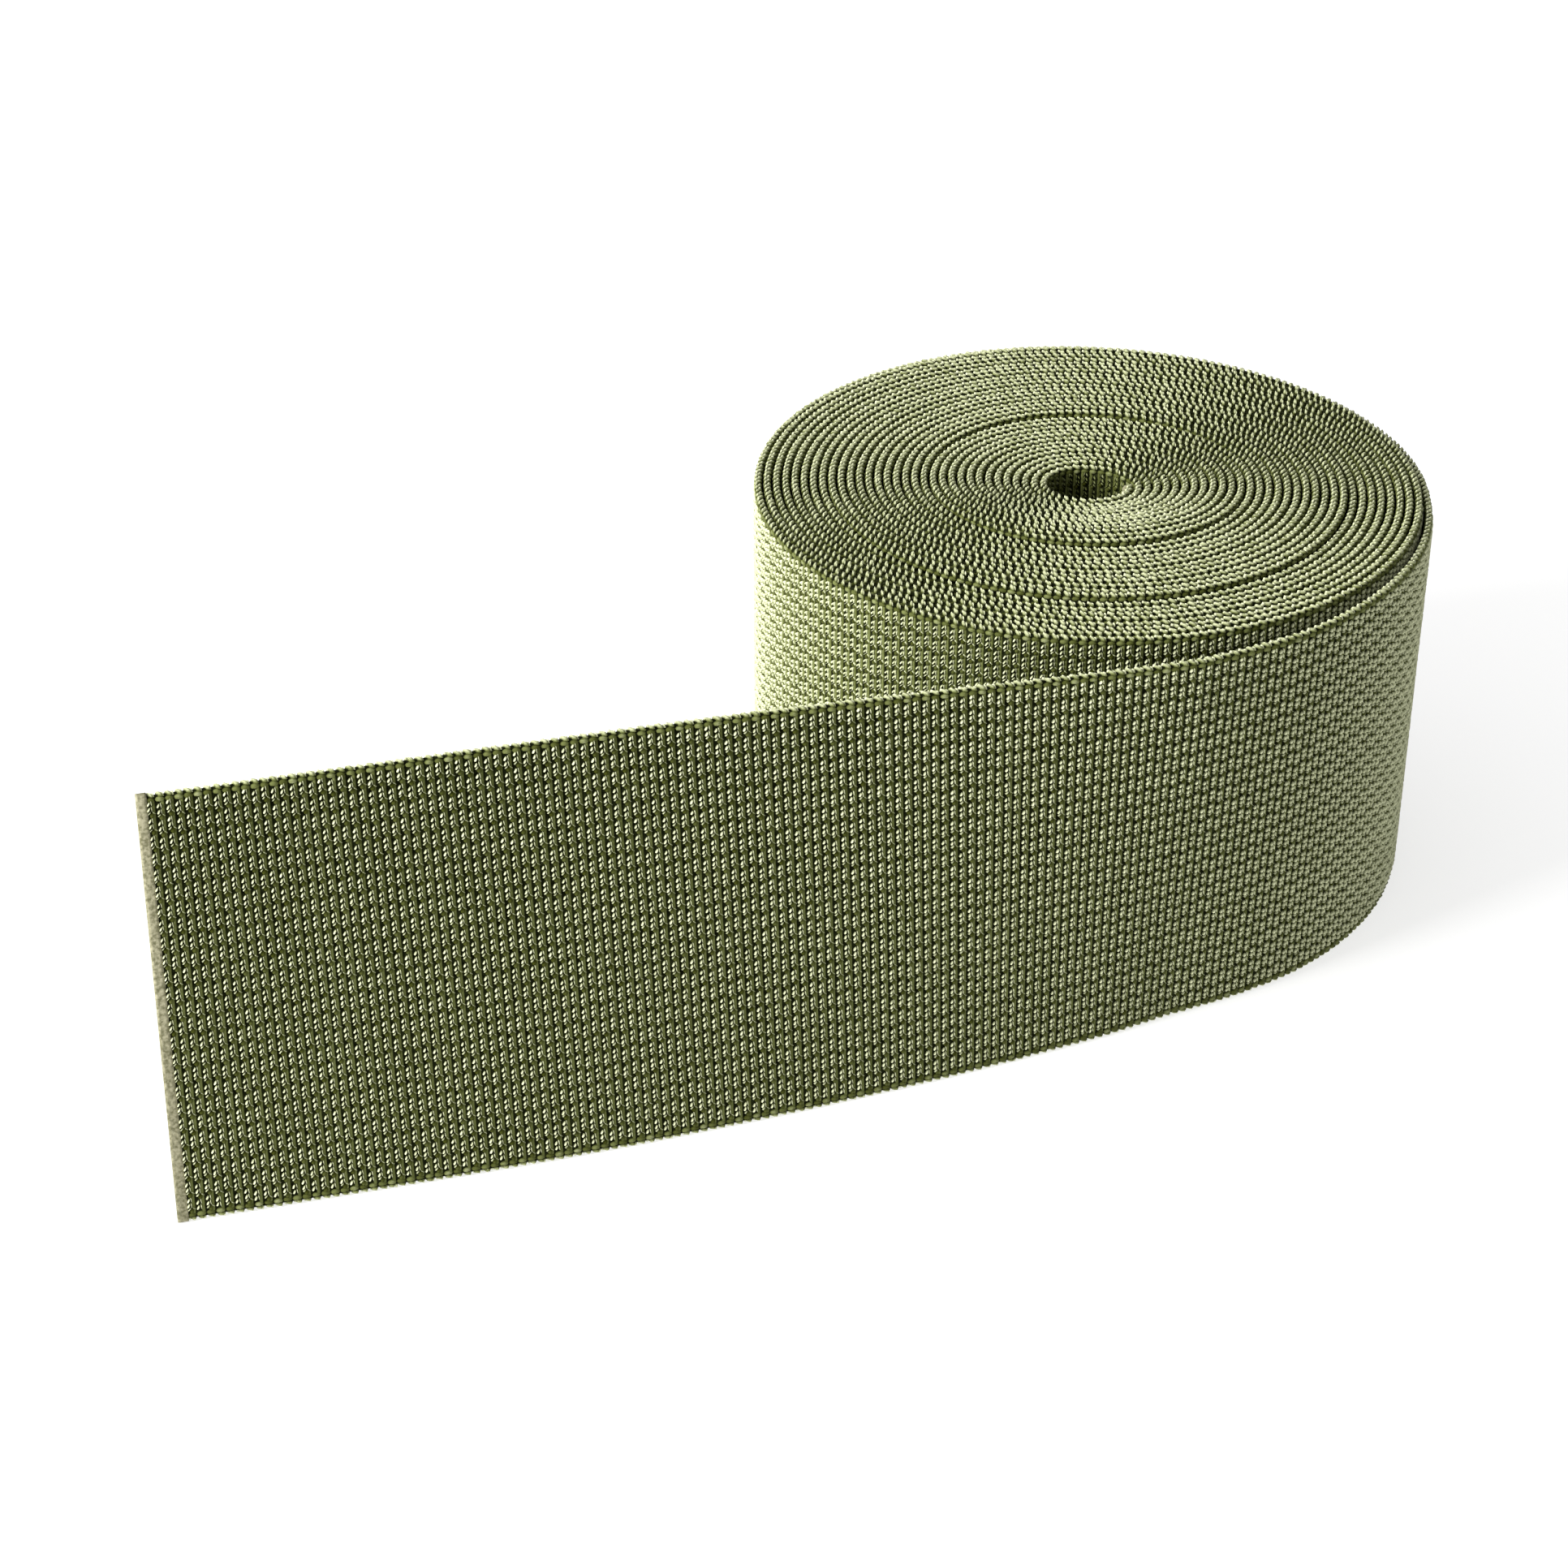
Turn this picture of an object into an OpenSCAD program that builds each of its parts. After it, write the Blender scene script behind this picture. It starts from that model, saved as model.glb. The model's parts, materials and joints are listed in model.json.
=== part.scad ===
// Flat woven resistance band: an elastic strip wound into a roll that stands on its edge, with a free tail.
// The roll's axis is Z and the strip stands on the plane z = 0. The strip is hollow cloth with rubber strands inside.

/* [Strip] */
// Width of the strip, which is the height of the standing roll
strip_w = 50; // [30:1:75]
// Thickness of the woven cloth
strip_t = 0.9; // [0.8:0.05:1.0]
// Width of each woven edge
selvedge_w = 1.2; // [0.8:0.1:2]
// Length of the fused strip at each cut end
seal_len = 1.2; // [0.8:0.1:2]

/* [Rubber strands] */
// Number of strands side by side in the strip
strand_count = 26; // [8:1:26]
// Diameter of one strand
strand_d = 0.44; // [0.3:0.02:0.46]
// Thickness of the pocket that the strands run in
pocket_t = 0.5; // [0.48:0.01:0.52]

/* [Roll] */
// Radius of the open hole in the middle
hole_r = 4.75; // [4:0.25:10]
// Number of turns
turns = 32; // [8:1:32]
// Distance from one turn to the next
pitch = 1.118; // [1.1:0.002:1.16]

/* [Tail] */
// How much larger than the roll the bend is where the strip peels off
peel_extra = 5; // [3:1:15]
// Direction of the first hinge, seen from the centre of that bend
hinge_dir = -62; // [-70:1:-50]
// Lengths of the tail from hinge to hinge, then to the stretching joint
tail_lens = [25, 33, 33.5]; // [20:0.5:40]
// Length past the stretching joint
end_len = 33.5; // [25:0.5:45]
// Compass directions of the tail, seen from above
tail_dirs = [204, 197, 195]; // [190:1:210]
// Length of the strands that run on inside the tail's end
strand_lap = 20; // [16:1:22]

/* [Fits] */
// Clearance round a hinge knuckle
knuckle_gap = 0.15; // [0.1:0.01:0.2]
// Gap across the closed stretching joint
slide_gap = 0.1; // [0.05:0.01:0.2]

/* [Hidden] */
$fn = 96;

cloth_colour = "#7d8659";
edge_colour = "#98a073";
seal_colour = "#b4b79a";
rubber_colour = "#d8d2bd";

web_bottom = selvedge_w;
web_top = strip_w - selvedge_w;
hem = 0.4;
pocket_bottom = web_bottom + hem;
pocket_top = web_top - hem;
strand_pitch = (pocket_top - pocket_bottom) / strand_count;

// Middle radius of turn k, counted from the innermost, where the turns are round about the roll's axis
function turn_r(k) = hole_r + strip_t / 2 + k * pitch;

// A turn climbs over the one inside it in a quarter turn, made of two arcs whose centres are off the axis.
// The arcs meet on the slope of a 3-4-5 triangle, so that their ends match exactly.
climb_angle = acos(0.8);
climb_shift_x = 2 * pitch;
climb_shift_y = 1.5 * pitch;
round_angle = 270;
seal_angle = seal_len / turn_r(0) * 180 / PI;

// The strip peels off in a direction with exact sides, 336 and 527 to 625
outer_r = turn_r(turns);
leave_side = [527, -336] / 625;
leave_dir = -acos(527 / 625);
peel_r = outer_r + peel_extra;
peel_centre = -peel_extra * leave_side;

// The first hinge, at the end of the peeling bend, and the joints that follow it along the tail
hinge_1 = peel_centre + peel_r * [cos(hinge_dir), sin(hinge_dir)];
hinge_2 = hinge_1 + tail_lens[0] * [cos(tail_dirs[0]), sin(tail_dirs[0])];
hinge_3 = hinge_2 + tail_lens[1] * [cos(tail_dirs[1]), sin(tail_dirs[1])];
slide_point = hinge_3 + tail_lens[2] * [cos(tail_dirs[2]), sin(tail_dirs[2])];
tail_points = [hinge_1, hinge_2, hinge_3, slide_point];

knuckle_r = strip_t / 2 - 0.02;
cup_r = strip_t / 2 + knuckle_gap;
closed_len = 0.8;

// ---- Roll: cross-sections are rectangles on the radius, turned about one of four centres ----

// Sections of turns first to last, thickness t, from z0 to z1, with shift added to the turn's radius
module turn_sections(first, last, shift, t, z0, z1) {
    for (k = [first : last])
        translate([turn_r(k) + shift - t / 2, z0]) square([t, z1 - z0]);
}

// Arc about centre c, from direction a over angle, of the sections given as children
module arc(c, a, angle) {
    translate([c[0], c[1], 0]) rotate_extrude(angle = angle, start = a) children();
}

// The whole wound strip of thickness t from z0 to z1, with its peeling bend up to short of the hinge
module wound_strip(t, z0, z1, short = 0) {
    arc([0, 0], 90, round_angle) turn_sections(0, turns - 1, 0, t, z0, z1);
    arc([climb_shift_x, 0], 0, climb_angle) turn_sections(1, turns, -climb_shift_x, t, z0, z1);
    arc([0, -climb_shift_y], climb_angle, 90 - climb_angle) turn_sections(1, turns, pitch / 2, t, z0, z1);
    arc([0, 0], leave_dir, -leave_dir) turn_sections(turns, turns, 0, t, z0, z1);
    arc(peel_centre, hinge_dir + short, leave_dir - hinge_dir - short)
        translate([peel_r - t / 2, z0]) square([t, z1 - z0]);
}

// Round cup at the end of the peeling stretch, which the first knuckle turns in
module first_cup() {
    translate([hinge_1[0], hinge_1[1], -1]) cylinder(r = cup_r, h = strip_w + 2);
}

module roll_layer(z0, z1) {
    difference() {
        wound_strip(strip_t, z0, z1);
        first_cup();
    }
}

// ---- Tail: straight lengths with a round knuckle at the start and a cup at the end ----

module at_tail(i) {
    translate([tail_points[i][0], tail_points[i][1], 0])
        rotate(i < 3 ? tail_dirs[i] : tail_dirs[2]) children();
}

// A length of strip from z0 to z1 along X, with a knuckle at the start if knuckle, a cup at the end if cup
module length_of_strip(len, z0, z1, knuckle, cup) {
    difference() {
        union() {
            translate([0, -strip_t / 2, z0]) cube([len, strip_t, z1 - z0]);
            if (knuckle) translate([0, 0, z0]) cylinder(r = knuckle_r, h = z1 - z0);
        }
        if (cup) translate([len, 0, z0 - 1]) cylinder(r = cup_r, h = z1 - z0 + 2);
    }
}

// Web of a length, with its pocket from x0 to x1
module length_of_web(len, x0, x1, knuckle, cup) {
    difference() {
        length_of_strip(len, web_bottom, web_top, knuckle, cup);
        translate([x0, -pocket_t / 2, pocket_bottom]) cube([x1 - x0, pocket_t, pocket_top - pocket_bottom]);
    }
}

module strands(x0, x1) {
    for (i = [0 : strand_count - 1])
        translate([x0, 0, pocket_bottom + (i + 0.5) * strand_pitch])
            rotate([0, 90, 0]) cylinder(d = strand_d, h = x1 - x0, $fn = 24);
}

module tail_web(i) {
    at_tail(i) length_of_web(tail_lens[i], closed_len, tail_lens[i] - closed_len, true, true);
}

module tail_rubber(i) {
    at_tail(i) strands(closed_len, tail_lens[i] - closed_len);
}

module tail_upper_selvedge(i) {
    at_tail(i) length_of_strip(tail_lens[i], web_top, strip_w, true, true);
}

module tail_lower_selvedge(i) {
    at_tail(i) length_of_strip(tail_lens[i], 0, web_bottom, true, true);
}

// ---- Nodes ----

module roll_web() {
    color(cloth_colour) difference() {
        roll_layer(web_bottom, web_top);
        wound_strip(pocket_t, pocket_bottom, pocket_top, short = 1.5);
    }
}

module roll_rubber() {
    color(rubber_colour) wound_strip(strand_d, pocket_bottom, pocket_top, short = 1.5);
}

module roll_upper_selvedge() {
    color(edge_colour) roll_layer(web_top, strip_w);
}

module roll_lower_selvedge() {
    color(edge_colour) roll_layer(0, web_bottom);
}

module inner_end_seal() {
    color(seal_colour)
        arc([0, 0], 0, seal_angle) turn_sections(0, 0, 0, strip_t, 0, strip_w);
}

module tail_1_web() {
    color(cloth_colour) tail_web(0);
}

module tail_1_rubber() {
    color(rubber_colour) tail_rubber(0);
}

module tail_1_upper_selvedge() {
    color(edge_colour) tail_upper_selvedge(0);
}

module tail_1_lower_selvedge() {
    color(edge_colour) tail_lower_selvedge(0);
}

module tail_2_web() {
    color(cloth_colour) tail_web(1);
}

module tail_2_rubber() {
    color(rubber_colour) tail_rubber(1);
}

module tail_2_upper_selvedge() {
    color(edge_colour) tail_upper_selvedge(1);
}

module tail_2_lower_selvedge() {
    color(edge_colour) tail_lower_selvedge(1);
}

module tail_3_web() {
    color(cloth_colour) at_tail(2)
        length_of_web(tail_lens[2] - slide_gap, closed_len, tail_lens[2] + 1, true, false);
}

module tail_3_rubber() {
    color(rubber_colour) at_tail(2) strands(closed_len, tail_lens[2] + strand_lap);
}

module tail_3_upper_selvedge() {
    color(edge_colour) at_tail(2) length_of_strip(tail_lens[2] - slide_gap, web_top, strip_w, true, false);
}

module tail_3_lower_selvedge() {
    color(edge_colour) at_tail(2) length_of_strip(tail_lens[2] - slide_gap, 0, web_bottom, true, false);
}

module tail_end_web() {
    color(cloth_colour) at_tail(3) length_of_web(end_len - seal_len, -1, end_len - seal_len + 1, false, false);
}

module tail_end_rubber() {
    color(rubber_colour) at_tail(3) strands(strand_lap + 1, end_len - seal_len);
}

module tail_end_upper_selvedge() {
    color(edge_colour) at_tail(3) length_of_strip(end_len - seal_len, web_top, strip_w, false, false);
}

module tail_end_lower_selvedge() {
    color(edge_colour) at_tail(3) length_of_strip(end_len - seal_len, 0, web_bottom, false, false);
}

module outer_end_seal() {
    color(seal_colour) at_tail(3) translate([end_len - seal_len, -strip_t / 2, 0])
        cube([seal_len, strip_t, strip_w]);
}

roll_web();
roll_rubber();
roll_upper_selvedge();
roll_lower_selvedge();
inner_end_seal();
tail_1_web();
tail_1_rubber();
tail_1_upper_selvedge();
tail_1_lower_selvedge();
tail_2_web();
tail_2_rubber();
tail_2_upper_selvedge();
tail_2_lower_selvedge();
tail_3_web();
tail_3_rubber();
tail_3_upper_selvedge();
tail_3_lower_selvedge();
tail_end_web();
tail_end_rubber();
tail_end_upper_selvedge();
tail_end_lower_selvedge();
outer_end_seal();
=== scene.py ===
import json
import math

import bpy
import numpy as np
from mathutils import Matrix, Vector


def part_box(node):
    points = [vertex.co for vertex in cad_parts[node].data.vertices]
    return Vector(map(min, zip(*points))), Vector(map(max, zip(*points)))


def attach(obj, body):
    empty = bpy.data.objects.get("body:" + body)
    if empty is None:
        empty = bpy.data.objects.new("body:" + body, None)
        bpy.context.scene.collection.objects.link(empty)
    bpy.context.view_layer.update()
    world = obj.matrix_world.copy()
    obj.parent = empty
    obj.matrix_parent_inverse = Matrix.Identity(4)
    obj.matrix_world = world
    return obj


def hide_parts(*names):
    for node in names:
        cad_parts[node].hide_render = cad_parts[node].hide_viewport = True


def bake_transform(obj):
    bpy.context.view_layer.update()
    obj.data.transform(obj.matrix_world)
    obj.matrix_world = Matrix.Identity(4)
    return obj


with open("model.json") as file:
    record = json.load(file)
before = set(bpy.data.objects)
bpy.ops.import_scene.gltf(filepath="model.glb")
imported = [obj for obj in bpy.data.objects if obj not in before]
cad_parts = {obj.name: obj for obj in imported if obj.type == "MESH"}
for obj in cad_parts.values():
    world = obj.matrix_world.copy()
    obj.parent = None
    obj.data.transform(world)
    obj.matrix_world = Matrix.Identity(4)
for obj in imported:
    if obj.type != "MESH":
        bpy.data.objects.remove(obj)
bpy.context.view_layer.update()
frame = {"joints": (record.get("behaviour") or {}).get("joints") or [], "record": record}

# A woven elastic strip, wound into a roll that stands on its edge, with a free tail.
# Every point of the strip has three coordinates, all in metres: s, the distance along the strip from its
# free end; v, the distance up from its lower edge; and d, the distance out from the middle of the cloth.
# d is positive on the outer face, which looks away from the roll's axis.

MM = 0.001
RANDOM = np.random.default_rng(7)

# ---- Sizes of the strip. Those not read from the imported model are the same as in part.scad ----

record = frame["record"]
joints = {j["name"]: j for j in frame["joints"]}
core = next(m for m in record["mounts"] if m["name"] == "core_hole")
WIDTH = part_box("outer_end_seal")[1].z
HOLE_R = core["dims"]["r_mm"] * MM
THICK = 0.9 * MM
TURNS = 32
SEAL_LEN = 1.2 * MM         # length of the fused stretch at each end
CORE_MID_R = HOLE_R + THICK / 2
LEFT_MID_R = -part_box("roll_web")[0].x - THICK / 2
PITCH = (LEFT_MID_R - CORE_MID_R) / (TURNS - 1)
INNER_REACH = SEAL_LEN / CORE_MID_R
PEEL_EXTRA = 5 * MM         # how much larger than the roll the bend is where the strip peels off
LEAVE_DIR = -math.acos(527 / 625)
PEEL_END_DIR = math.radians(-62)
STRANDS = 26                # rubber strands inside the cloth, in the tail; in the roll they are one layer
STRAND_D = 0.44 * MM

# ---- Sizes that only the visual model has ----

TAIL_LEGS = (21 * MM, 25 * MM, 81.4 * MM)   # stretches of the tail past the peeling bend
TAIL_HEADINGS = (208, 198.5, 196, 195)      # headings in degrees where those stretches begin and end
CUT_SKEW = 1.05 * MM        # how far out of square the strip's end is cut
CUT_REACH = 20 * MM         # length over which that fades out
LEAN = 14                   # degrees that the tail leans back, growing from LEAN_FROM over LEAN_LEN
LEAN_FROM = 33 * MM         # distance past the place where the strip leaves the roll
LEAN_LEN = 85 * MM
SETTLE = 2.8                # degrees that the tail leans the other way, from close to the roll onwards
SETTLE_BEFORE = 20 * MM     # where that begins, on the roll
SETTLE_LEN = 40 * MM

RIB = 1.05 * MM             # from one rib to the next, along the strip
REPEATS = 26                # repeats of the weave across the strip
ROW = WIDTH / REPEATS / 3   # from one bump to the next, up a rib
ODD_SHIFT = 0.19            # how far odd ribs are shifted, as a share of the repeat
GROUND_T = 0.52 * MM        # thickness of the cloth under its yarns
EDGE = 0.42 * MM            # how far the edge loops are set in from the edge
SEAL_T = 0.95 * MM          # thickness of the fused ends
STRAND_SIDES = 6
STRAND_MARGIN = 1 * MM      # width at each edge that has no strands
YARN_MARGIN = 1.1 * MM      # least distance of the weave's bumps from the strip's edge
CORD_MARGIN = 1.0 * MM
CORD_SINK = 0.02 * MM       # how far the cords between the ribs are sunk into the cloth
JITTER = 0.015 * MM         # spread of the bumps' places
BUMP_BASE = -0.3            # height of a bump's base, as a share of its own height


# ---- The strip's path in plan ----

STEP_R = 20 * MM
PATH_STEP = 0.1 * MM


def hinge_point(name):
    return np.array(joints[name]["pos_m"][:2])


def arc_length(points):
    steps = np.hypot(*np.diff(points, axis=0).T)
    return np.concatenate([[0], np.cumsum(steps)])


def roll_path(step):
    """Middle of the strip from where it leaves the roll, inwards, with one climb in each turn.

    A step is as long as step at STEP_R from the axis, and longer or shorter elsewhere."""
    turn_end = 2 * math.pi * TURNS + INNER_REACH
    around = np.arange(LEAVE_DIR, turn_end, step / STEP_R)
    turn = np.floor(around / (2 * math.pi))
    climb = np.clip((around - turn * 2 * math.pi) / (math.pi / 2), 0, 1)
    climb = climb * climb * (3 - 2 * climb)
    radius = CORE_MID_R + PITCH * (TURNS - turn - climb)
    return np.stack([radius * np.cos(around), radius * np.sin(around)], 1), around


def tail_path(start, heading, step):
    """Middle of the strip from where it leaves the roll, outwards: the peeling bend, then an easing curve."""
    outer_r = CORE_MID_R + PITCH * TURNS
    bend = (outer_r + PEEL_EXTRA) * (LEAVE_DIR - PEEL_END_DIR)
    headings = np.radians([heading, *TAIL_HEADINGS])
    marks = np.concatenate([[0], np.cumsum([bend, *TAIL_LEGS])])
    along = np.arange(0, marks[-1], step)
    turn = np.interp(along, marks, headings)
    moves = step * np.stack([np.cos(turn), np.sin(turn)], 1)
    return start + np.concatenate([[[0, 0]], np.cumsum(moves[:-1], axis=0)])


inner_path, inner_around = roll_path(PATH_STEP)
outer_path = tail_path(inner_path[0], math.degrees(LEAVE_DIR) + 270, PATH_STEP)
path = np.concatenate([outer_path[::-1], inner_path[1:]])
path_around = np.concatenate([np.full(len(outer_path) - 1, LEAVE_DIR), inner_around])
path_s = arc_length(path)
LENGTH = path_s[-1]
LEAVE_S = arc_length(outer_path)[-1]
outward = -np.gradient(path, path_s, axis=0)
outward /= np.hypot(*outward.T)[:, None]
path_normal = np.stack([-outward[:, 1], outward[:, 0]], 1)


def lean(s):
    """How far the strip leans back at s, in radians: none on the roll, more along the tail."""
    along = np.clip((LEAVE_S - s - LEAN_FROM) / LEAN_LEN, 0, 1)
    settle = np.clip((LEAVE_S + SETTLE_BEFORE - s) / SETTLE_LEN, 0, 1)
    return np.radians(LEAN * np.sin(along * math.pi / 2) - SETTLE * settle)


def lift(s):
    """How far each stretch of the wound strip stands above the plane that the roll stands on.

    The numbers are in mm, and in turns from the outside. The outermost turn climbs 0.6 mm at the back
    and 0.9 mm at the front, and the turns inside it stay there. Two groups of inner turns are pushed up
    at the front, the second is pushed down at the back as well, and the innermost turns sink again at
    the front towards the hole. All but the start of the outermost turn are a little uneven."""
    around = np.interp(s, path_s, path_around)
    wound = np.clip((around - LEAVE_DIR) / (1.6 * math.pi), 0, 1)
    front = (1 - np.sin(around)) / 2
    height = (0.6 + 0.3 * front) * wound * wound * (3 - 2 * wound)
    height += np.where(around > 2 * math.pi * 8 + math.pi / 2, 0.6 * front ** 2, 0)
    height += np.where(around > 2 * math.pi * 19, 1.3 * (front - 0.5) + 0.05, 0)
    height -= 1.7 * front * np.clip((around / (2 * math.pi) - 23) / 8, 0, 1)
    height += wound * 0.1 * (1 + np.sin(around * 0.83) * np.cos(around * 0.13))
    return height * MM


def place(s, v, d):
    """Points in space of strip coordinates, which are arrays of one shape.

    The end is cut a little off square."""
    flat_s = np.ravel(s) + CUT_SKEW * np.ravel(v) / WIDTH * np.clip(1 - np.ravel(s) / CUT_REACH, 0, 1)
    centre = np.stack([np.interp(flat_s, path_s, path[:, i]) for i in (0, 1)], 1)
    normal = np.stack([np.interp(flat_s, path_s, path_normal[:, i]) for i in (0, 1)], 1)
    normal /= np.hypot(*normal.T)[:, None]
    tilt = lean(flat_s)
    up, out = np.ravel(v), np.ravel(d)
    sideways = out * np.cos(tilt) - (up - WIDTH / 2) * np.sin(tilt)
    height = up * np.cos(tilt) + out * np.sin(tilt) + lift(flat_s)
    return np.column_stack([centre + normal * sideways[:, None], height])


# ---- Mesh making ----

def make_mesh(name, points, faces, attributes=None):
    """A smooth mesh object from an array of points and a list of arrays of faces."""
    mesh = bpy.data.meshes.new(name)
    sizes = np.concatenate([np.full(len(f), f.shape[1]) for f in faces])
    corners = np.concatenate([f.ravel() for f in faces])
    mesh.vertices.add(len(points))
    mesh.vertices.foreach_set("co", points.astype(np.float32).ravel())
    mesh.loops.add(len(corners))
    mesh.loops.foreach_set("vertex_index", corners.astype(np.int32))
    mesh.polygons.add(len(sizes))
    starts = np.concatenate([[0], np.cumsum(sizes)[:-1]])
    mesh.polygons.foreach_set("loop_start", starts.astype(np.int32))
    mesh.update(calc_edges=True)
    mesh.polygons.foreach_set("use_smooth", np.full(len(sizes), True))
    for key, values in (attributes or {}).items():
        kind = "FLOAT" if values.ndim == 1 else "FLOAT_VECTOR"
        field = "value" if values.ndim == 1 else "vector"
        layer = mesh.attributes.new(key, kind, "POINT")
        layer.data.foreach_set(field, values.astype(np.float32).ravel())
    piece = bpy.data.objects.new(name, mesh)
    bpy.context.scene.collection.objects.link(piece)
    return piece


def ring_faces(rings, size):
    """Quads between rings of points, and a face at each end."""
    ring = np.arange(rings - 1)[:, None] * size
    point = np.arange(size)[None, :]
    after = (point + 1) % size
    quads = np.stack([ring + point, ring + after, ring + size + after, ring + size + point], -1)
    first = np.arange(size)[None, ::-1]
    last = (rings - 1) * size + np.arange(size)[None, :]
    return [quads.reshape(-1, 4), first, last]


def swept(name, s, outlines):
    """Closed solids, each with the same outline, as (d, v) points, at every s, in one mesh."""
    points, faces, count = [], [], 0
    for outline in outlines:
        d, v = np.array(outline).T
        points.append(place(np.repeat(s, len(d)), np.tile(v, len(s)), np.tile(d, len(s))))
        faces += [ring + count for ring in ring_faces(len(s), len(d))]
        count += len(points[-1])
    return make_mesh(name, np.concatenate(points), faces)


def bump_template(slices, section):
    """A bump of yarn: a closed lens with a point at each end, on a flat base.

    Its points are (along its length, across it, out of the cloth), from -1 to 1."""
    points = [(-1, 0, BUMP_BASE)]
    for a in slices:
        taper = (1 - a * a) ** 0.5
        points += [(a, b * taper, c * taper if c > 0 else c) for b, c in section]
    points.append((1, 0, BUMP_BASE))
    size = len(section)
    end = len(points) - 1
    around = [(i, (i + 1) % size) for i in range(size)]
    tips = [(0, 1 + j, 1 + i) for i, j in around]
    tips += [(end, end - size + i, end - size + j) for i, j in around]
    sides = [(1 + r * size + i, 1 + r * size + j, 1 + (r + 1) * size + j, 1 + (r + 1) * size + i)
             for r in range(len(slices) - 1) for i, j in around]
    return np.array(points, float), np.array(tips), np.array(sides)


ROUND_BUMP = bump_template((-0.6, 0, 0.6), ((-1, BUMP_BASE), (-0.55, 0.8), (0.55, 0.8), (1, BUMP_BASE)))
THIN_BUMP = bump_template((-0.5, 0.5), ((-1, BUMP_BASE), (0, 1), (1, BUMP_BASE)))


def repeated(faces, count, points_each):
    """The faces of one template, for count copies of its points in a row."""
    return (np.arange(count)[:, None, None] * points_each + faces[None]).reshape(-1, faces.shape[1])


class Yarns:
    """Collects bumps and cords in strip coordinates, and makes them one mesh. dim scales their tones."""

    # shade_dim scales every tone down as painted shade; only the yarns in the roll's hole use it, at 0.5.
    def __init__(self, shade_dim=1.0):
        self.shade_dim = shade_dim
        self.points = []
        self.faces = []
        self.count = 0

    def bumps(self, s, v, d, along, across, out, template=ROUND_BUMP, tone=1.0):
        """Bumps at (s, v, d). along, across and out are the half length, half width and height of each
        as vectors in strip coordinates, each a tuple of (s, v, d). tone is 0 for dark, over 1 for light."""
        points, tips, sides = template
        count = len(s)
        tint = RANDOM.uniform(0, 1, count)
        grow = RANDOM.uniform(0.92, 1.08, count)
        where = []
        for axis, middle in enumerate((s, v, d)):
            steps = points @ np.array([along[axis], across[axis], out[axis]])
            where.append(np.broadcast_to(middle, count)[:, None] + steps[None] * grow[:, None])
        each = len(points)
        fibre = np.repeat(points[None], count, 0) * np.array([2.0, 1.0, 1.0])
        fibre[:, :, 2] = RANDOM.uniform(0, 50, count)[:, None]
        # Each bump is painted darker towards its base, to 0.4 of its tone there: painted shade where the bump
        # meets the cloth.
        shade = tone * (0.4 + 0.6 * np.clip(points[:, 2], 0, 1))
        self._keep(where, fibre, np.repeat(tint, each), np.tile(shade, count))
        for faces in (tips, sides):
            self.faces.append(repeated(faces, count, each) + self.count)
        self.count += count * each

    def cords(self, s, low, high, side, half, rise, tone):
        """Straight cords up the strip, one at each s."""
        section = np.array([(-half, 0), (-half / 2, rise), (half / 2, rise), (half, 0)])
        count, size = len(s), len(section)
        point_s = s[:, None, None] + section[None, None, :, 0]
        point_v = np.array([low, high])[None, :, None]
        point_d = side * (GROUND_T / 2 - CORD_SINK + section[None, None, :, 1])
        where = [np.broadcast_to(x, (count, 2, size)) for x in (point_s, point_v, point_d)]
        fibre = np.stack([where[1] / MM, (where[0] - s[:, None, None]) / half, where[0] / MM], -1)
        each = 2 * size
        self._keep(where, fibre, np.repeat(RANDOM.uniform(0, 1, count), each), np.full(count * each, tone))
        for faces in ring_faces(2, size):
            self.faces.append(repeated(faces, count, each) + self.count)
        self.count += count * each

    def _keep(self, where, fibre, tint, tone):
        where = [np.ravel(x) for x in where]
        self.points.append((*where, fibre.reshape(-1, 3), tint, tone * self.shade_dim))

    def face(self, ribs, side):
        """The weave of one face (side 1 is the outer face) on the given ribs."""
        rows = np.arange(3 * REPEATS)
        rib, row = [g.ravel() for g in np.meshgrid(ribs, rows, indexing="ij")]
        v = (row + 0.5 + np.where(rib % 2 == 0, 0.0, 3 * ODD_SHIFT)) * ROW
        inside = (v > YARN_MARGIN) & (v < WIDTH - YARN_MARGIN)
        rib, row, v = rib[inside], row[inside], v[inside]
        s = rib * RIB
        wide = row % 3 == 1
        plain = ~wide
        top = side * GROUND_T / 2

        def add(which, across_rib, up_rib, long, turned, wide_by, rise, tone, template=THIN_BUMP):
            """Bumps at a share of a rib and of a row, turned from upright, in degrees, towards the next rib.

            long and wide_by are the half length and half width of each, and rise its height, in mm."""
            count = which.sum()
            at_s = s[which] + across_rib * RIB + RANDOM.normal(0, JITTER, count)
            at_v = v[which] + up_rib * ROW + RANDOM.normal(0, JITTER, count)
            turned_s, turned_v = math.sin(math.radians(turned)), math.cos(math.radians(turned))
            along = (long * MM * turned_s, long * MM * turned_v, 0)
            across = (wide_by * MM * turned_v, -wide_by * MM * turned_s, 0)
            self.bumps(at_s, at_v, top, along, across, (0, 0, side * rise * MM), template, tone)

        self.cords((ribs + 0.76) * RIB, CORD_MARGIN, WIDTH - CORD_MARGIN, side, 0.21 * MM, 0.15 * MM, 0.36)
        add(plain, 0.25, 0, 0.32, 34, 0.12, 0.42, 1.2, ROUND_BUMP)
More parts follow.
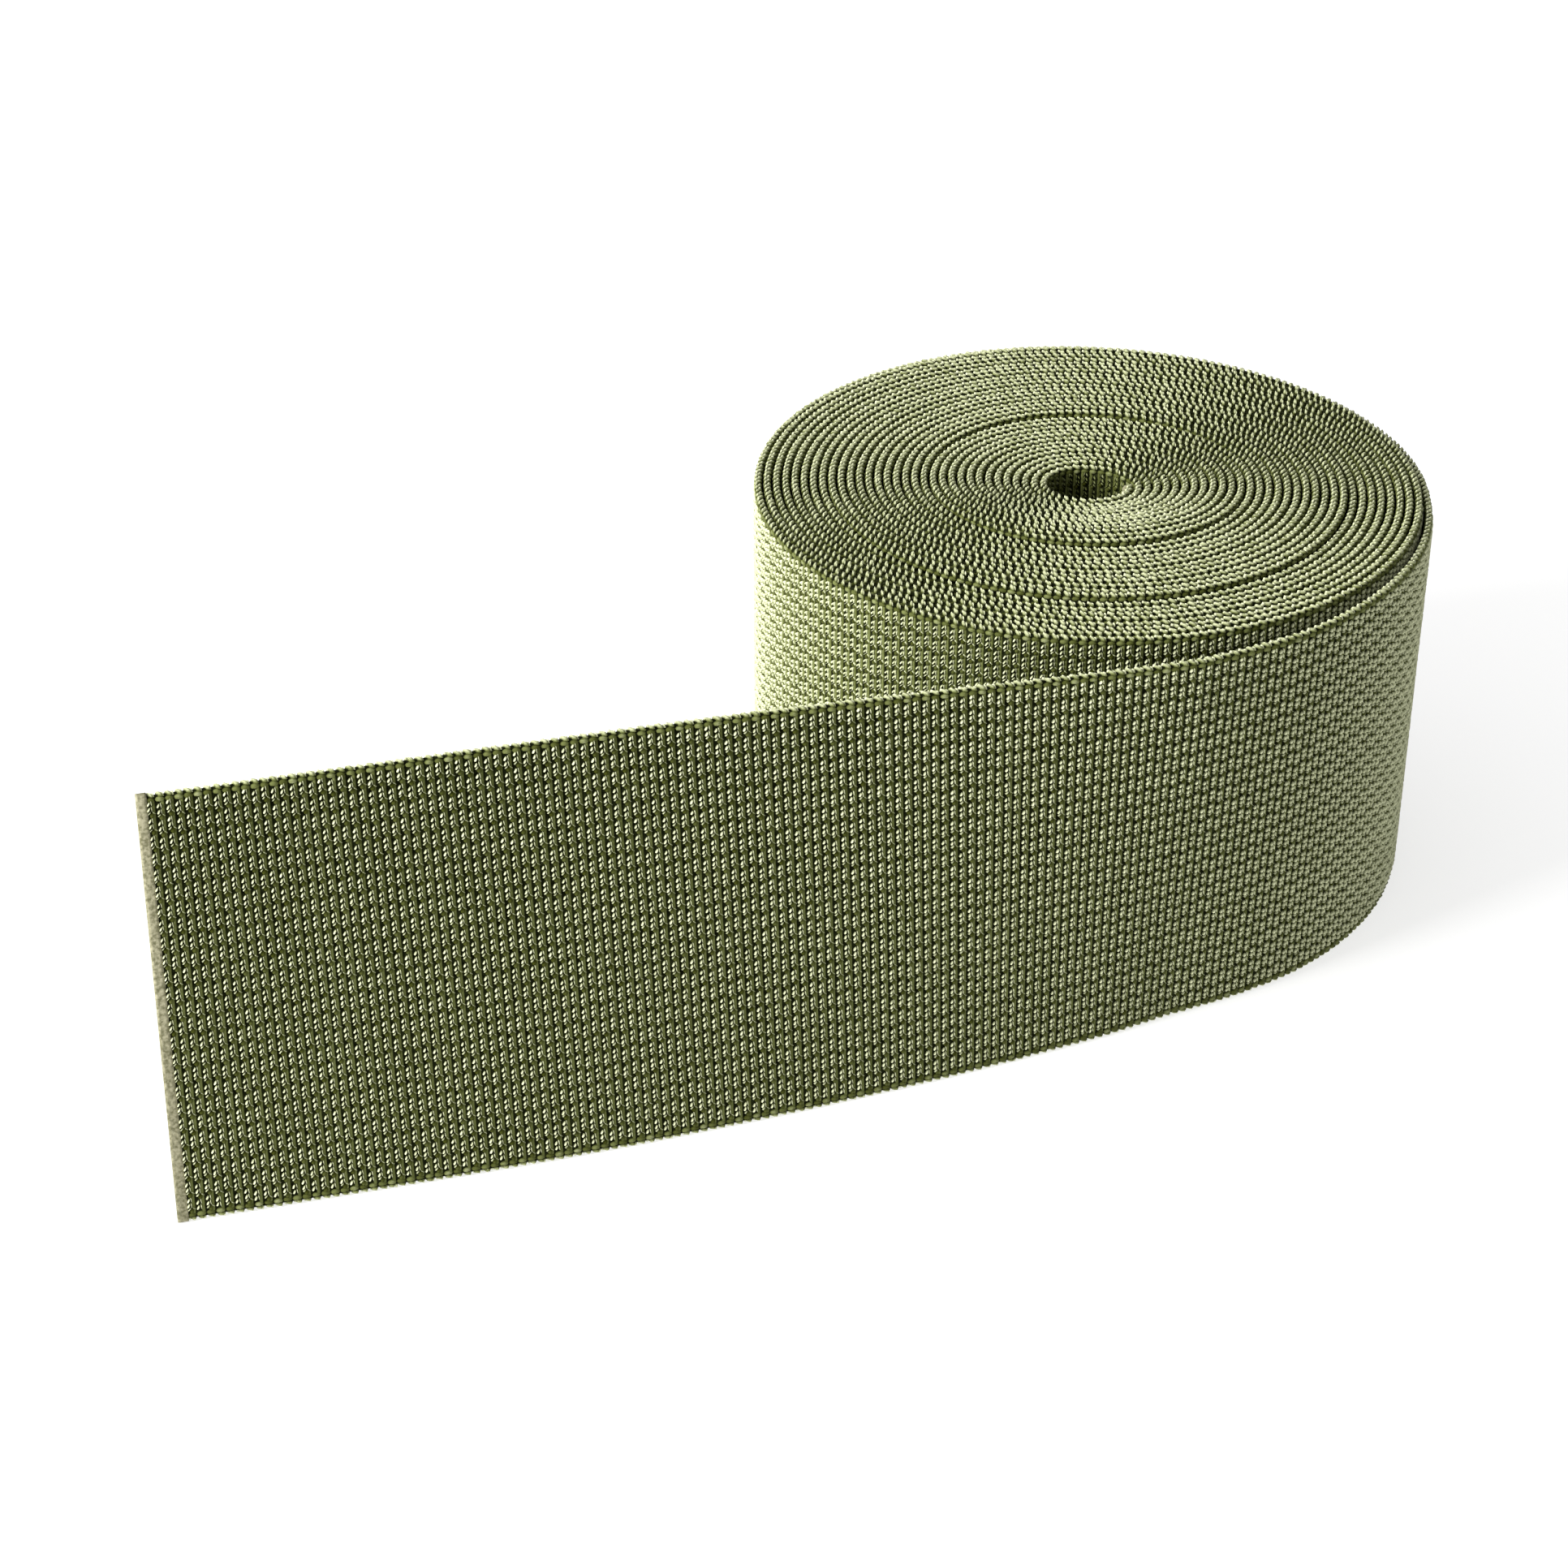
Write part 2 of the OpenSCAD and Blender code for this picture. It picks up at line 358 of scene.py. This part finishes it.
        # The thin light bump at 0.56 of a rib lies on the left side of the cord: a real bump, coloured light
        # as a painted highlight on the cord's lit side.
        add(plain, 0.56, 0.1, 0.40, -6, 0.09, 0.40, 1.1)
        add(wide, 0.56, -0.02, 0.36, 0, 0.34, 0.34, 0.1, ROUND_BUMP)
        add(wide, 0.30, 0.42, 0.32, 50, 0.06, 0.40, 1.1)
        add(wide, 0.80, 0.42, 0.32, -50, 0.06, 0.36, 1.0)

    def edge(self, ribs, top):
        """The loops that turn over the upper or lower edge, and the wide loops beside them on each face."""
        up = 1 if top else -1
        edge_v = WIDTH - EDGE if top else EDGE
        for parity, rise, tone in ((0, 0.36, 0.55), (1, 0.3, 0.2)):
            some = ribs[ribs % 2 == parity]
            uneven = RANDOM.normal(0, 0.05, len(some))
            self.bumps((some + 0.5 + uneven) * RIB, edge_v, 0, (0.26 * MM, 0, 0.5 * MM),
                       (0.36 * MM, 0, 0.1 * MM), (0, up * rise * MM, 0), ROUND_BUMP, 0.85)
            # The two thin bumps on each loop are real small yarns, coloured lighter than the loop as painted
            # highlights.
            for across_rib, d in ((0.3, -0.16), (0.75, 0.18)):
                self.bumps((some + across_rib - uneven) * RIB, edge_v, d * MM, (0.2 * MM, 0, 0.2 * MM),
                           (0.09 * MM, 0, -0.09 * MM), (0, up * 0.38 * MM, 0), THIN_BUMP, 1.3)
            for side in (-1, 1):
                self.bumps((some + 0.5) * RIB, edge_v - up * 0.42 * MM, side * GROUND_T / 2,
                           (0.55 * RIB, 0, 0), (0, 0.34 * MM, 0), (0, 0, side * 0.24 * MM), ROUND_BUMP, tone)

    def make(self, name):
        s, v, d, fibre, tint, tone = [np.concatenate([p[i] for p in self.points]) for i in range(6)]
        return make_mesh(name, place(s, v, d), self.faces,
                         attributes={"fibre": fibre, "tint": tint, "tone": tone})


# ---- Materials ----

SPECULAR = 0.05
TONE_RANGE = 1.5            # largest tone, with its variation, that the ramp can take

def new_material(name):
    material = bpy.data.materials.new(name)
    material.use_nodes = True
    nodes, links = material.node_tree.nodes, material.node_tree.links
    return material, nodes, links, nodes["Principled BSDF"]


def yarn_material():
    """Yarn whose tone, from dark to light, is an attribute of each bump, with fibres along its length."""
    material, nodes, links, shader = new_material("yarn")
    fibre = nodes.new("ShaderNodeAttribute")
    fibre.attribute_name = "fibre"
    stretch = nodes.new("ShaderNodeVectorMath")
    stretch.operation = "MULTIPLY"
    stretch.inputs[1].default_value = (0.8, 5.0, 1.0)
    strands = nodes.new("ShaderNodeTexNoise")
    strands.inputs["Scale"].default_value = 1.0
    strands.inputs["Detail"].default_value = 2.0
    links.new(fibre.outputs["Vector"], stretch.inputs[0])
    links.new(stretch.outputs[0], strands.inputs["Vector"])
    tint = nodes.new("ShaderNodeAttribute")
    tint.attribute_name = "tint"
    # The tone attribute holds each yarn's own tone, with painted shade towards each bump's base and in the
    # hole, and painted highlights on some thin bumps.
    tone = nodes.new("ShaderNodeAttribute")
    tone.attribute_name = "tone"
    varied = nodes.new("ShaderNodeMath")
    varied.operation = "MULTIPLY_ADD"
    varied.inputs[1].default_value = 0.16
    links.new(tint.outputs["Fac"], varied.inputs[0])
    links.new(tone.outputs["Fac"], varied.inputs[2])
    streaked = nodes.new("ShaderNodeMath")
    streaked.operation = "MULTIPLY_ADD"
    streaked.inputs[1].default_value = 0.3
    links.new(strands.outputs["Fac"], streaked.inputs[0])
    links.new(varied.outputs[0], streaked.inputs[2])
    ramp = nodes.new("ShaderNodeValToRGB")
    stops = ramp.color_ramp.elements
    stops[0].position = 0.15
    stops[0].color = (0.04, 0.046, 0.004, 1)
    stops[1].position = 1.3 / TONE_RANGE
    stops[1].color = (0.8, 0.83, 0.54, 1)
    middle = stops.new(0.45)
    middle.color = (0.148, 0.166, 0.054, 1)
    scaled = nodes.new("ShaderNodeMath")
    scaled.operation = "MULTIPLY"
    scaled.inputs[1].default_value = 1 / TONE_RANGE
    links.new(streaked.outputs[0], scaled.inputs[0])
    links.new(scaled.outputs[0], ramp.inputs["Fac"])
    links.new(ramp.outputs["Color"], shader.inputs["Base Color"])
    bump = nodes.new("ShaderNodeBump")
    bump.inputs["Strength"].default_value = 0.5
    bump.inputs["Distance"].default_value = 0.04 * MM
    links.new(strands.outputs["Fac"], bump.inputs["Height"])
    links.new(bump.outputs["Normal"], shader.inputs["Normal"])
    shader.inputs["Roughness"].default_value = 0.55
    shader.inputs["Specular IOR Level"].default_value = SPECULAR
    return material


def noisy_material(name, dark, light, scale, roughness, bump_depth):
    """A material mottled between two colours by noise of that scale per metre."""
    material, nodes, links, shader = new_material(name)
    where = nodes.new("ShaderNodeTexCoord")
    noise = nodes.new("ShaderNodeTexNoise")
    noise.inputs["Scale"].default_value = scale
    noise.inputs["Detail"].default_value = 4.0
    links.new(where.outputs["Object"], noise.inputs["Vector"])
    ramp = nodes.new("ShaderNodeValToRGB")
    ramp.color_ramp.elements[0].position = 0.35
    ramp.color_ramp.elements[0].color = dark
    ramp.color_ramp.elements[1].position = 0.65
    ramp.color_ramp.elements[1].color = light
    links.new(noise.outputs["Fac"], ramp.inputs["Fac"])
    links.new(ramp.outputs["Color"], shader.inputs["Base Color"])
    bump = nodes.new("ShaderNodeBump")
    bump.inputs["Strength"].default_value = 0.6
    bump.inputs["Distance"].default_value = bump_depth
    links.new(noise.outputs["Fac"], bump.inputs["Height"])
    links.new(bump.outputs["Normal"], shader.inputs["Normal"])
    shader.inputs["Roughness"].default_value = roughness
    shader.inputs["Specular IOR Level"].default_value = SPECULAR
    return material


YARN = yarn_material()
# The cloth under the yarns is coloured almost black: painted shade for the deep gaps between the yarns.
PAINTED_SHADE_GROUND = noisy_material("ground_painted_shade", (0.004, 0.005, 0.001, 1), (0.02, 0.024, 0.008, 1), 1500, 0.95, 0.05 * MM)
SEAL = noisy_material("sealed_end", (0.15, 0.145, 0.08, 1), (0.38, 0.36, 0.24, 1), 2600, 0.8, 0.1 * MM)
RUBBER = noisy_material("rubber", (0.55, 0.5, 0.38, 1), (0.66, 0.62, 0.5, 1), 800, 0.6, 0.02 * MM)


def dress(piece, material):
    piece.data.materials.clear()
    piece.data.materials.append(material)
    return piece


# ---- The strip, cut where the joints need it ----

def along_to(name):
    """Distance along the strip of the path's point nearest to a joint."""
    return path_s[np.argmin(np.hypot(*(path - hinge_point(name)).T))]


def whole_ribs(s):
    return round(s / RIB) * RIB


PAST_HINGE = 10.5 * MM      # from the first hinge to the cut between the tail and the roll
HINGE_REACH = 4.5 * MM      # half the length of the window that bend_window gives round a hinge
STRETCH_REACH = 20 * MM     # half the length of that window at the slide
STRETCH_SHIFT = 4 * MM      # how far towards the free end the slide's window is moved
HINGE_S = [along_to(n) for n in ("tail_1_bend", "tail_2_bend", "tail_3_bend")]
SLIDE_S = HINGE_S[2] / 2
CUTS = [0, whole_ribs((HINGE_S[2] + SLIDE_S) / 2), whole_ribs((HINGE_S[1] + HINGE_S[2]) / 2),
        whole_ribs((HINGE_S[0] + HINGE_S[1]) / 2), whole_ribs(HINGE_S[0] + PAST_HINGE)]


def outline(thick, inset=EDGE):
    """Cross-section of the strip as (d, v) points: a tall box with its corners cut."""
    half, cut = thick / 2, thick / 4
    low, high = inset, WIDTH - inset
    return [(half, low + cut), (half, high - cut), (half - cut, high), (cut - half, high),
            (-half, high - cut), (-half, low + cut), (cut - half, low), (half - cut, low)]


def strand_outline(index):
    """Cross-section of one rubber strand as (d, v) points, counted from the lower edge."""
    middle = (index + 0.5) / STRANDS * (WIDTH - 2 * STRAND_MARGIN) + STRAND_MARGIN
    turns = np.linspace(0, 2 * math.pi, STRAND_SIDES + 1)[:STRAND_SIDES]
    return [(STRAND_D / 2 * math.cos(turn), middle + STRAND_D / 2 * math.sin(turn)) for turn in turns]


STRAND_OUTLINES = [strand_outline(i) for i in range(STRANDS)]


def ribs_between(start, end):
    return np.arange(round(start / RIB), round(end / RIB))


def stations(start, end):
    return np.linspace(start, end, max(2, round((end - start) / RIB) + 1))


def bend_window(s, reach):
    """Start and end points of a blend centred on s, from the roll's side to the end's side."""
    far, near = place(np.array([s + reach, s - reach]), np.full(2, WIDTH / 2), np.zeros(2))
    return far, near


TAIL = (
    ("tail_end", CUTS[0], CUTS[1], "tail_3", "tail_end", SLIDE_S - STRETCH_SHIFT, STRETCH_REACH),
    ("tail_3", CUTS[1], CUTS[2], "tail_2", "tail_3", HINGE_S[2], HINGE_REACH),
    ("tail_2", CUTS[2], CUTS[3], "tail_1", "tail_2", HINGE_S[1], HINGE_REACH),
    ("tail_1", CUTS[3], CUTS[4], "roll", "tail_1", HINGE_S[0], HINGE_REACH),
)

for name, start, end, inner_body, outer_body, bend_s, reach in TAIL:
    cloth_start = SEAL_LEN if name == "tail_end" else start
    ribs = ribs_between(cloth_start + 0.1 * MM, end)
    pieces = [dress(swept(name + "_cloth", stations(cloth_start, end), [outline(GROUND_T)]), PAINTED_SHADE_GROUND)]
    for face, side in (("outer", 1), ("inner", -1)):
        yarns = Yarns()
        yarns.face(ribs, side)
        pieces.append(dress(yarns.make(name + "_" + face + "_yarns"), YARN))
    for edge, top in (("upper", True), ("lower", False)):
        yarns = Yarns()
        yarns.edge(ribs, top)
        pieces.append(dress(yarns.make(name + "_" + edge + "_loops"), YARN))
    rubber = swept(name + "_rubber_strands", stations(cloth_start, end), STRAND_OUTLINES)
    pieces.append(dress(rubber, RUBBER))
    far, near = bend_window(bend_s, reach)
    for piece in pieces:
        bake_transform(piece)
    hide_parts(name + "_web")
    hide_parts(name + "_rubber")
    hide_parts(name + "_upper_selvedge")
    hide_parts(name + "_lower_selvedge")

seal = swept("outer_seal", np.linspace(0, SEAL_LEN, 5), [outline(SEAL_T, 0.1 * MM)])
dress(seal, SEAL)
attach(seal, "tail_end")
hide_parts("outer_end_seal")
inner_seal = swept("inner_seal", np.linspace(LENGTH - SEAL_LEN, LENGTH, 5), [outline(SEAL_T, 0.9 * MM)])
dress(inner_seal, SEAL)
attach(inner_seal, "roll")
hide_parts("inner_end_seal")

roll_cloth = swept("roll_cloth", stations(CUTS[4], LENGTH - SEAL_LEN), [outline(GROUND_T)])
dress(roll_cloth, PAINTED_SHADE_GROUND)
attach(roll_cloth, "roll")
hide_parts("roll_web")
rubber = swept("roll_rubber_layer", stations(CUTS[4], LENGTH - SEAL_LEN), [outline(STRAND_D, EDGE + MM)])
dress(rubber, RUBBER)
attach(rubber, "roll")
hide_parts("roll_rubber")


def roll_yarns(name, start, end, side=None, top=None, shade_dim=1.0):
    """Yarns on the roll from start to end: a face if side is given, or an edge if top is given."""
    yarns = Yarns(shade_dim)
    if side:
        yarns.face(ribs_between(start, end), side)
    else:
        yarns.edge(ribs_between(start, end), top)
    piece = dress(yarns.make(name), YARN)
    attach(piece, "roll")
    return piece


# Only the outermost turn, the peeling bend and the innermost turn show a face of the cloth.
visible_end = LEAVE_S + 2 * math.pi * LEFT_MID_R + 20 * MM
face_cuts = np.linspace(CUTS[4], visible_end, 6)
for i in range(5):
    roll_yarns("roll_outer_yarns_%d" % (i + 1), face_cuts[i], face_cuts[i + 1], side=1)
roll_yarns("roll_peel_yarns", CUTS[4], LEAVE_S + 10 * MM, side=-1)
# The yarns inside the hole get half their tone: painted shade for the dark inside of the hole.
roll_yarns("roll_hole_yarns", LENGTH - 2 * math.pi * CORE_MID_R - 4 * MM, LENGTH - SEAL_LEN, side=-1,
           shade_dim=0.5)
edge_cuts = np.linspace(CUTS[4], LENGTH - SEAL_LEN, 5)
for edge, top in (("upper", True), ("lower", False)):
    for i in range(4):
        piece = roll_yarns("roll_%s_loops_%d" % (edge, i + 1), edge_cuts[i], edge_cuts[i + 1],
                           top=top)
        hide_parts("roll_%s_selvedge" % edge)


# ---- Stage, light and camera ----

FLOOR_REACH = 4
FLOOR_GLOW = 0.68
LIGHT_AT = Vector((-0.586, -0.303, 0.348))
LIGHT_TARGET = Vector((-0.03, -0.02, 0.03))
LIGHT_SIZE = 0.3
LIGHT_POWER = 8
SKY_LEFT = 1.25             # strength of the surrounding light from the left
SKY_RIGHT = 0.0             # and from the right
CAMERA_AT = (-0.0367, -0.3805, 0.2393)
CAMERA_DOWN = 31.37         # degrees below the level that the camera looks
CAMERA_LENS = 80.12
CAMERA_SENSOR = 36

floor_mesh = bpy.data.meshes.new("floor")
floor_corners = [(x * FLOOR_REACH, y * FLOOR_REACH, 0) for x, y in ((-1, -1), (1, -1), (1, 1), (-1, 1))]
floor_mesh.from_pydata(floor_corners, [], [(0, 1, 2, 3)])
floor = bpy.data.objects.new("floor", floor_mesh)
bpy.context.scene.collection.objects.link(floor)
floor_material = noisy_material("floor", (0.5, 0.5, 0.5, 1), (0.52, 0.52, 0.52, 1), 3, 0.9, 0)
floor_shader = floor_material.node_tree.nodes["Principled BSDF"]
floor_shader.inputs["Emission Color"].default_value = (1, 1, 1, 1)
floor_shader.inputs["Emission Strength"].default_value = FLOOR_GLOW
floor.data.materials.append(floor_material)

light = bpy.data.lights.new("left", "AREA")
light.shape = "RECTANGLE"
light.size = light.size_y = LIGHT_SIZE
light.energy = LIGHT_POWER
lamp = bpy.data.objects.new("left", light)
bpy.context.scene.collection.objects.link(lamp)
lamp.location = LIGHT_AT
lamp.rotation_euler = (LIGHT_TARGET - LIGHT_AT).to_track_quat("-Z", "Y").to_euler()

world = bpy.data.worlds.new("world")
world.use_nodes = True
sky = world.node_tree.nodes["Background"]
direction = world.node_tree.nodes.new("ShaderNodeTexCoord")
parts = world.node_tree.nodes.new("ShaderNodeSeparateXYZ")
fade = world.node_tree.nodes.new("ShaderNodeMapRange")
fade.inputs["From Min"].default_value = -1
fade.inputs["To Min"].default_value = SKY_LEFT
fade.inputs["To Max"].default_value = SKY_RIGHT
world.node_tree.links.new(direction.outputs["Generated"], parts.inputs[0])
world.node_tree.links.new(parts.outputs["X"], fade.inputs["Value"])
world.node_tree.links.new(fade.outputs["Result"], sky.inputs["Strength"])
sky.inputs["Color"].default_value = (1, 1, 1, 1)
bpy.context.scene.world = world
bpy.context.scene.view_settings.view_transform = "Standard"

camera_data = bpy.data.cameras.new("camera")
camera_data.lens = CAMERA_LENS
camera_data.sensor_width = CAMERA_SENSOR
camera_data.clip_start = 0.01
camera = bpy.data.objects.new("camera", camera_data)
camera.location = CAMERA_AT
camera.rotation_euler = (math.radians(90 - CAMERA_DOWN), 0, 0)
bpy.context.scene.collection.objects.link(camera)
bpy.context.scene.camera = camera
